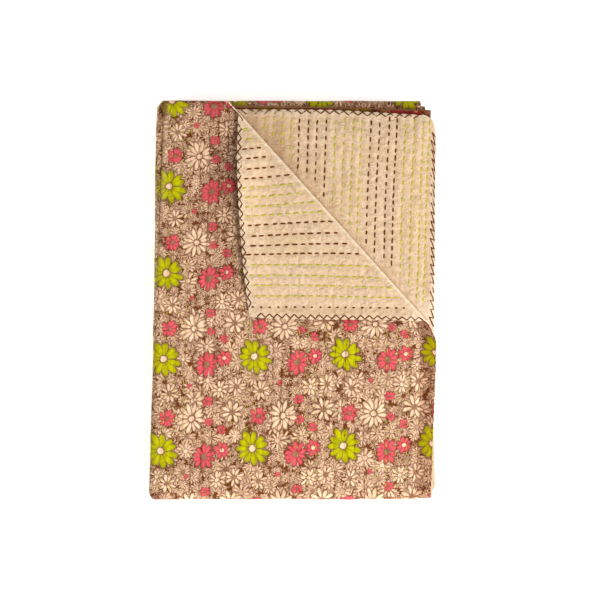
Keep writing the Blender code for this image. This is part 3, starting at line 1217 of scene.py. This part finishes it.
class QuiltFinish(bpy.types.PropertyGroup):
    """The sizes and colours that a user of the quilt would change."""

    stitch: size_of("Stitch", "Length of a running stitch that shows", 0.0078, 0.002, 0.02)
    stitch_pitch: size_of(
        "Stitch pitch", "From one running stitch to the next", 0.0103, 0.004, 0.03
    )
    thread_width: size_of(
        "Thread width", "Width of a thread lying on the cloth", 0.0025, 0.0003, 0.003
    )
    edging_width: size_of(
        "Edging width", "Width of the thread round the cut edges", 0.0018, 0.0003, 0.003
    )
    thread_height: size_of(
        "Thread height", "How thick a thread lies on the cloth", 0.0009, 0.0002, 0.003
    )
    brown: colour_of("Brown thread", "Colour of the brown stitching and edging", 98, 44, 0)
    green: colour_of("Green thread", "Colour of the green stitching", 178, 172, 60)
    cream: colour_of("Cream cotton", "Colour of the plain cloth", 225, 196, 166)
    ground: colour_of("Print ground", "Brown behind the daisies", 117, 63, 26)
    petal: colour_of("Pale petals", "Colour of the cream daisies", 252, 213, 177)
    lime: colour_of("Lime petals", "Colour of the large lime daisies", 194, 190, 0)
    red: colour_of("Red petals", "Colour of the red daisies", 230, 92, 100)


# The daisies of one repeat that stand out, from the middle of the lime one, in metres.
Bloom = namedtuple("Bloom", "colour left down radius petals turn width eye eye_colour")
REPEAT = (0.1155, 0.1170)
REPEAT_START = (0.2315, 0.3350)
BLOOMS = (
    Bloom("petal", -0.038, -0.040, 0.0205, 12, 0.3, 0.125, 0.16, "petal"),
    Bloom("petal", 0.026, -0.047, 0.0158, 8, 0.1, 0.155, 0.22, "ground"),
    Bloom("petal", 0.022, 0.038, 0.0130, 9, 0.5, 0.14, 0.26, "ground"),
    Bloom("petal", 0.043, 0.041, 0.0130, 9, 0.0, 0.14, 0.18, "petal"),
    Bloom("petal", -0.009, 0.044, 0.0130, 9, 0.2, 0.14, 0.20, "ground"),
    Bloom("red", -0.055, 0.009, 0.0165, 10, 0.2, 0.175, 0.24, "ground"),
    Bloom("red", 0.038, 0.001, 0.0115, 8, 0.4, 0.21, 0.22, "petal"),
    Bloom("red", -0.007, -0.041, 0.0115, 9, 0.0, 0.20, 0.20, "ground"),
    Bloom("red", 0.039, -0.025, 0.0066, 7, 0.2, 0.25, 0.16, "ground"),
    Bloom("red", 0.056, -0.035, 0.0060, 7, 0.5, 0.25, 0.16, "ground"),
    Bloom("red", 0.0575, -0.0610, 0.0070, 7, 0.1, 0.25, 0.16, "ground"),
    Bloom("red", -0.0335, 0.035, 0.0036, 6, 0.1, 0.30, 0.16, "ground"),
    Bloom("lime", 0.0, 0.0, 0.0240, 11, 0.15, 0.165, 0.17, "petal"),
)

# The small daisies strewn between them, from the smallest up. A lower tone is nearer the ground.
Strewn = namedtuple("Strewn", "size seed petals tone")
STREWN = (
    Strewn(0.0062, 1, 6.0, 0.58),
    Strewn(0.0090, 2, 7.0, 0.78),
    Strewn(0.0130, 3, 8.0, 0.86),
    Strewn(0.0175, 4, 8.0, 0.92),
    Strewn(0.0230, 5, 9.0, 0.95),
)
DARK_LINE = (0.05, 0.016, 0.006, 1.0)
RED_SHADOW = (0.20, 0.010, 0.015, 1.0)
LIME_SHADOW = (0.13, 0.10, 0.004, 1.0)
WANDER_SCALE = 110.0
WANDER_REACH = 0.0036
GRAIN_SCALE = 420.0


def scattered(s, daisy, place, strewn):
    """Daisies strewn over the cloth, each as wide as its neighbours leave it."""
    moved = s.vector("ADD", place, (strewn.seed * 0.137, strewn.seed * 0.071, 0))
    scaled = s.scaled(moved, 1 / strewn.size)
    middles, room = [
        s.add("ShaderNodeTexVoronoi", voronoi_dimensions="2D", feature=feature)
        for feature in ("F1", "N_SPHERE_RADIUS")
    ]
    for node in (middles, room):
        s.put(node.inputs["Vector"], scaled)
        node.inputs["Scale"].default_value = 1.0
        node.inputs["Randomness"].default_value = 0.85
    chance = s.add("ShaderNodeSeparateColor")
    s.put(chance.inputs[0], middles.outputs["Color"])
    made = s.group(
        daisy,
        Place=s.vector("SUBTRACT", scaled, middles.outputs["Position"]),
        Radius=s.times(room.outputs["Radius"], 1.35),
        Petals=s.plus(s.math("FLOOR", s.times(chance.outputs[0], 3.0)), strewn.petals),
        Turn=s.times(chance.outputs[1], 6.0),
        Width=0.125,
        Eye=0.2,
    )
    return made, chance.outputs[2]


def repeated(s, daisy, start, bloom):
    """One daisy of the repeat, wherever it comes again."""
    moved = s.vector("SUBTRACT", start, (bloom.left, bloom.down, 0.0))
    share = s.vector("ADD", s.vector("DIVIDE", moved, (*REPEAT, 1.0)), (0.5, 0.5, 0.0))
    share = s.vector("SUBTRACT", s.vector("FRACTION", share), (0.5, 0.5, 0.0))
    return s.group(
        daisy, Place=s.vector("MULTIPLY", share, (*REPEAT, 0.0)), Radius=bloom.radius,
        Petals=float(bloom.petals), Turn=bloom.turn, Width=bloom.width, Eye=bloom.eye,
    )


def print_group(finish):
    """The daisy print, in flat metres."""
    tree, s, given, out = new_group(
        "daisy print",
        [
            ("Flat", "vector", None),
            ("Ground", "colour", finish.ground[:]),
            ("Petals", "colour", finish.petal[:]),
            ("Lime", "colour", finish.lime[:]),
            ("Red", "colour", finish.red[:]),
        ],
        [("Color", "colour")],
    )
    ground, petals = given["Ground"], given["Petals"]

    def drawn(colour, made, outline, line, rim, petal, eye):
        """Draws daisies over a colour: their outline, then their petals, then their eyes."""
        colour = s.toward(colour, outline, made["Line"], line)
        colour = s.mix(made["Petal"], colour, s.mix(made["Middle"], rim, petal))
        return s.mix(made["Eye"], colour, eye)

    daisy = flower_group()
    shaken = s.noise(given["Flat"], WANDER_SCALE, output="Color")
    shaken = s.scaled(s.vector("SUBTRACT", shaken, (0.5, 0.5, 0.5)), WANDER_REACH)
    place = s.vector("ADD", given["Flat"], shaken)
    dark = s.mix(0.45, ground, DARK_LINE)
    grain = s.ramp(s.noise(given["Flat"], GRAIN_SCALE), 0.35, 0.65)
    colour = s.toward(ground, dark, grain, 0.45)
    for strewn in STREWN:
        made, chance = scattered(s, daisy, place, strewn)
        pale = s.toward(petals, ground, chance, 0.30)
        pale = s.mix(1 - strewn.tone, pale, ground)
        rim = s.mix(0.45, pale, ground)
        colour = drawn(colour, made, dark, 0.50, rim, pale, s.mix(chance, petals, ground))
    sources = {
        "petal": petals, "red": given["Red"], "lime": given["Lime"],
        "ground": s.mix(0.20, ground, petals),
    }
    shadows = {"petal": dark, "red": RED_SHADOW, "lime": LIME_SHADOW}
    start = s.vector("SUBTRACT", place, (*REPEAT_START, 0.0))
    for bloom in BLOOMS:
        made = repeated(s, daisy, start, bloom)
        petal, shadow = sources[bloom.colour], shadows[bloom.colour]
        outline, rim = s.mix(0.5, shadow, dark), s.mix(0.40, petal, shadow)
        colour = drawn(colour, made, outline, 0.75, rim, petal, sources[bloom.eye_colour])
    s.put(out["Color"], colour)
    return tree


def weave_group():
    """Plain weave with slubs: a height, and how pale each thread is."""
    tree, s, given, out = new_group(
        "plain weave",
        [("Flat", "vector", None), ("Thread", "value", 0.0005)],
        [("Height", "value"), ("Tone", "value")],
    )
    axes = s.split(s.scaled(given["Flat"], s.over(math.pi, given["Thread"])))
    warp, weft = [s.math("SINE", axes[n]) for n in (0, 1)]
    over = s.math("GREATER_THAN", s.times(warp, weft), 0.0)
    high = s.times(s.math("ABSOLUTE", warp), over)
    low = s.times(s.math("ABSOLUTE", weft), s.minus(1.0, over))
    across, along = [
        s.noise(s.vector("MULTIPLY", given["Flat"], stretch), 1.0, 3.0, 0.7)
        for stretch in ((900.0, 40.0, 1.0), (40.0, 900.0, 1.0))
    ]
    slub = s.times(s.plus(across, along), 0.5)
    s.put(out["Height"], s.plus(s.plus(high, low), s.times(slub, 2.0)))
    s.put(out["Tone"], s.ramp(slub, 0.35, 0.65))
    return tree


def wear_group():
    """Wear: 1 at the cut edges of the flat cloth, and blotches all over."""
    tree, s, given, out = new_group(
        "wear",
        [("Flat", "vector", None), ("Width", "value", 0.006)],
        [("Edge", "value"), ("Blotch", "value")],
    )
    insides = [
        s.math("MINIMUM", axis, s.minus(length, axis))
        for axis, length in zip(s.split(given["Flat"]), (ACROSS.length, ALONG.length))
    ]
    s.put(out["Edge"], s.ramp(s.math("MINIMUM", *insides), given["Width"], 0.0))
    s.put(out["Blotch"], s.ramp(s.noise(given["Flat"], 22.0, 4.0, 0.6), 0.38, 0.66))
    return tree


def new_material(name):
    """A material, a shop for its nodes and its shader."""
    made = bpy.data.materials.new(name)
    made.use_nodes = True
    return made, Shop(made.node_tree), made.node_tree.nodes["Principled BSDF"]


def shared_group(name, build):
    """A node group that more than one material uses, built the first time."""
    return bpy.data.node_groups.get(name) or build()


def grey(level):
    return (level, level, level, 1.0)


THREAD_PITCH = 0.00055
WEAVE_BUMP = 0.2
PRINT_EDGE_WEAR = 0.006
CREAM_EDGE_WEAR = 0.013


def woven(name, edge_wear):
    """A cloth's material before it is coloured, and what its colour is made from."""
    made, s, shader = new_material(name)
    flat = s.uv("flat")
    weave = s.group(shared_group("plain weave", weave_group), Flat=flat, Thread=THREAD_PITCH)
    wear = s.group(shared_group("wear", wear_group), Flat=flat, Width=edge_wear)
    return made, s, shader, flat, weave, wear


def cotton(s, shader, colour, roughness, sheen, height, strength, depth):
    """Gives a shader a colour and the soft, dull surface of cotton, raised by a height."""
    s.put(shader.inputs["Base Color"], colour)
    shader.inputs["Roughness"].default_value = roughness
    shader.inputs["Sheen Weight"].default_value = sheen
    shader.inputs["Sheen Roughness"].default_value = 0.5
    shader.inputs["Specular IOR Level"].default_value = 0.06
    bump = s.add("ShaderNodeBump")
    bump.inputs["Strength"].default_value = strength
    bump.inputs["Distance"].default_value = depth
    s.put(bump.inputs["Height"], height)
    s.put(shader.inputs["Normal"], bump.outputs["Normal"])


def printed_cotton(finish):
    """The daisy print on cotton, with painted shade in its valleys and folds, a painted highlight
    by the side groove, and paler where it has faded.
    """
    made, s, shader, flat, weave, wear = woven("printed_cotton", PRINT_EDGE_WEAR)
    colour = s.group(print_group(finish), Flat=s.uv("print"))["Color"]
    colour = s.multiplied(colour, s.mix(weave["Tone"], grey(0.86), grey(1.05)))
    # Painted shade in the valleys, beside the corner and between the folds, then a painted
    # highlight on the edge by the side groove.
    shaded = s.multiplied(colour, (0.40, 0.23, 0.15, 1.0))
    colour = s.toward(colour, shaded, s.tone("painted_shade"), 0.55)
    colour = s.toward(colour, finish.petal[:], s.tone("painted_highlight"), 0.14)
    colour = s.mix(wear["Blotch"], colour, s.multiplied(colour, (1.10, 1.09, 1.08, 1.0)))
    crumple = s.noise(flat, 220.0, 4.0, 0.62)
    height = s.plus(s.times(weave["Height"], WEAVE_BUMP), s.times(crumple, 6.0))
    cotton(s, shader, colour, 0.85, 0.03, height, 0.8, 0.0005)
    return made


def cream_cotton(finish):
    """Plain cotton, crumpled, with yellowed blotches, pale edges, stray threads, painted shade and
    painted highlights.
    """
    made, s, shader, flat, weave, wear = woven("cream_cotton", CREAM_EDGE_WEAR)
    crumple = s.noise(flat, 150.0, 5.0, 0.66)
    threads = s.mix(weave["Tone"], (0.90, 0.89, 0.87, 1.0), grey(1.06))
    colour = s.multiplied(finish.cream[:], threads)
    # Painted shade in the hollows of the crumples and painted highlight on their tops.
    crumple_shade = s.mix(s.ramp(crumple, 0.38, 0.62), (0.88, 0.86, 0.80, 1.0), (1.06, 1.05, 1.07, 1.0))
    colour = s.multiplied(colour, crumple_shade)
    stray = s.math("ABSOLUTE", s.minus(s.noise(flat, 26.0), 0.5))
    stray = s.ramp(stray, 0.011, 0.002)
    # Stray threads, blotches and worn edges are the cloth's own; then painted shade, and a painted
    # highlight along the crease and near its lower end.
    for mask, share, other in (
        (stray, 0.20, linear(176, 138, 84)),
        (wear["Blotch"], 0.30, linear(212, 178, 122)),
        (wear["Edge"], 0.65, linear(248, 224, 192)),
        (s.tone("painted_shade"), 0.18, linear(150, 100, 58)),
        (s.tone("painted_highlight"), 0.90, linear(255, 236, 206)),
    ):
        colour = s.toward(colour, other, mask, share)
    height = s.plus(s.times(weave["Height"], WEAVE_BUMP), s.times(crumple, 8.0))
    cotton(s, shader, colour, 0.88, 0.03, s.minus(height, stray), 0.8, 0.0005)
    return made


def cotton_thread(name, colour):
    """Twisted thread, with a painted highlight on top of its strands."""
    made, s, shader = new_material(name)
    axes = s.split(s.uv("thread"))
    strand = s.math("SINE", s.times(s.plus(axes[0], axes[1]), 22.0))
    fuzz = s.noise(s.add("ShaderNodeTexCoord").outputs["Object"], 900.0, 2.0, 0.6)
    high = s.plus(s.times(strand, 0.5), fuzz)
    # Painted highlight: the thread turns paler where its strands stand highest.
    pale = s.mix(0.10, colour, (0.9, 0.6, 0.3, 1.0))
    colour = s.mix(s.ramp(high, 0.4, 1.3), colour, pale)
    cotton(s, shader, colour, 0.85, 0.0, high, 0.3, 0.0002)
    return made


def stage_floor():
    """Plain pale floor, matt, with the faintest grain."""
    made, s, shader = new_material("pale_floor")
    tone = s.ramp(s.noise(s.add("ShaderNodeTexCoord").outputs["Object"], 3.0), 0.3, 0.7)
    s.put(shader.inputs["Base Color"], s.mix(tone, grey(0.93), grey(0.95)))
    shader.inputs["Roughness"].default_value = 0.9
    shader.inputs["Emission Color"].default_value = (1.0, 1.0, 1.0, 1.0)
    shader.inputs["Emission Strength"].default_value = 0.50
    return made


# ---------------------------------------------------------------------------------------------
# Operators.

CAMERA_X, CAMERA_Y, CAMERA_HEIGHT = 0.0079, -0.0007, 2.445
WORLD_COLOUR, WORLD_STRENGTH = (1.0, 0.985, 0.96, 1.0), 0.45

# The soft lights, each turned to the middle of the quilt.
Lamp = namedtuple("Lamp", "name place power size")
LAMPS = (
    Lamp("key", (1.00, -1.65, 1.30), 52.0, 1.1),
    Lamp("side", (2.20, -0.10, 0.80), 34.0, 0.8),
    Lamp("fill", (-2.0, -0.3, 1.3), 18.0, 1.6),
)


def finish_of(context):
    return context.scene.quilt_finish


class QUILT_OT_front_cloth(bpy.types.Operator):
    """Sews and folds the printed cloth"""

    bl_idname = "quilt.front_cloth"
    bl_label = "Printed cloth"

    def execute(self, context):
        piece = sewn_cloth(
            "front_cloth", "front",
            (COARSE, HIDDEN, HIDDEN, HIDDEN), (COARSE, HIDDEN, HIDDEN, HIDDEN),
            [((0, TOP_WIDTH), (0, TOP_LENGTH))],
        )
        piece.data.materials.append(printed_cotton(finish_of(context)))
        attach(piece, "root")
        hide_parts("front_panel")
        return {"FINISHED"}


class QUILT_OT_back_cloth(bpy.types.Operator):
    """Sews and folds the plain cloth"""

    bl_idname = "quilt.back_cloth"
    bl_label = "Plain cloth"

    def execute(self, context):
        piece = sewn_cloth(
            "back_cloth", "back",
            (COARSE, HIDDEN, HIDDEN, COARSE), (COARSE, HIDDEN, HIDDEN, HIDDEN),
            [
                ((0, TOP_WIDTH * CORNER_SHARE), (0, CREAM_SHOWS)),
                ((LOWER_START + LOWER_HIDDEN, ACROSS.length), (0, CREAM_SHOWS)),
            ],
        )
        piece.data.materials.append(cream_cotton(finish_of(context)))
        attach(piece, "root")
        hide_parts("back_panel")
        return {"FINISHED"}


class QUILT_OT_running_stitches(bpy.types.Operator):
    """Lays the rows of running stitch that show"""

    bl_idname = "quilt.running_stitches"
    bl_label = "Running stitches"

    def execute(self, context):
        finish = finish_of(context)
        shape = stitch_shape()
        for colour, shade in (("brown", finish.brown[:]), ("green", finish.green[:])):
            piece = laid_stitches(f"{colour}_stitches", shape, running_stitches(colour, finish))
            piece.data.materials.append(cotton_thread(f"{colour}_thread", shade))
            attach(piece, "root")
        return {"FINISHED"}


class QUILT_OT_edging(bpy.types.Operator):
    """Sews the zigzag round the cut edges"""

    bl_idname = "quilt.edging"
    bl_label = "Edging"

    def execute(self, context):
        finish = finish_of(context)
        frames = edging_frames(finish.edging_width, finish.thread_height)
        piece = laid_stitches("brown_edging", stitch_shape(taper=0.12, dip=0.3), frames)
        piece.data.materials.append(bpy.data.materials["brown_thread"])
        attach(piece, "root")
        return {"FINISHED"}


class QUILT_OT_stage(bpy.types.Operator):
    """Sets out the floor, the lights and the camera"""

    bl_idname = "quilt.stage"
    bl_label = "Stage"

    def execute(self, context):
        bm = bmesh.new()
        bmesh.ops.create_grid(bm, x_segments=8, y_segments=8, size=6.0)
        floor = in_scene("floor", mesh_from(bm, "floor"))
        floor.data.materials.append(stage_floor())
        world = bpy.data.worlds.new("studio")
        world.use_nodes = True
        background = world.node_tree.nodes["Background"]
        background.inputs["Color"].default_value = WORLD_COLOUR
        background.inputs["Strength"].default_value = WORLD_STRENGTH
        context.scene.world = world
        for lamp in LAMPS:
            light = bpy.data.lights.new(lamp.name, "AREA")
            light.energy = lamp.power
            light.size = lamp.size
            stand = bpy.data.objects.new(lamp.name, light)
            stand.location = lamp.place
            stand.rotation_euler = (-Vector(lamp.place)).to_track_quat("-Z", "Y").to_euler()
            context.scene.collection.objects.link(stand)
        camera = bpy.data.cameras.new("camera")
        camera.sensor_width = 36.0
        camera.lens = 109.8
        camera.clip_end = 20.0
        holder = bpy.data.objects.new("camera", camera)
        holder.location = (CAMERA_X - CENTRE[0], CAMERA_Y - CENTRE[1], CAMERA_HEIGHT)
        context.scene.collection.objects.link(holder)
        context.scene.camera = holder
        context.scene.view_settings.view_transform = "Standard"
        return {"FINISHED"}


class QUILT_PT_panel(bpy.types.Panel):
    """Lists the steps that make the quilt"""

    bl_label = "Kantha quilt"
    bl_idname = "QUILT_PT_panel"
    bl_space_type = "VIEW_3D"
    bl_region_type = "UI"
    bl_category = "Quilt"

    def draw(self, context):
        finish = finish_of(context)
        for name in finish.bl_rna.properties.keys():
            if name not in ("rna_type", "name"):
                self.layout.prop(finish, name)
        for step in STEPS:
            self.layout.operator(step.bl_idname)


STEPS = (
    QUILT_OT_stage,
    QUILT_OT_front_cloth,
    QUILT_OT_back_cloth,
    QUILT_OT_running_stitches,
    QUILT_OT_edging,
)
CLASSES = (QuiltFinish, *STEPS, QUILT_PT_panel)


def register():
    for made in CLASSES:
        bpy.utils.register_class(made)
    bpy.types.Scene.quilt_finish = bpy.props.PointerProperty(type=QuiltFinish)


def unregister():
    del bpy.types.Scene.quilt_finish
    for made in reversed(CLASSES):
        bpy.utils.unregister_class(made)


def main():
    register()
    bpy.ops.quilt.stage()
    bpy.ops.quilt.front_cloth()
    bpy.ops.quilt.back_cloth()
    bpy.ops.quilt.running_stitches()
    bpy.ops.quilt.edging()


if __name__ == "__main__":
    main()
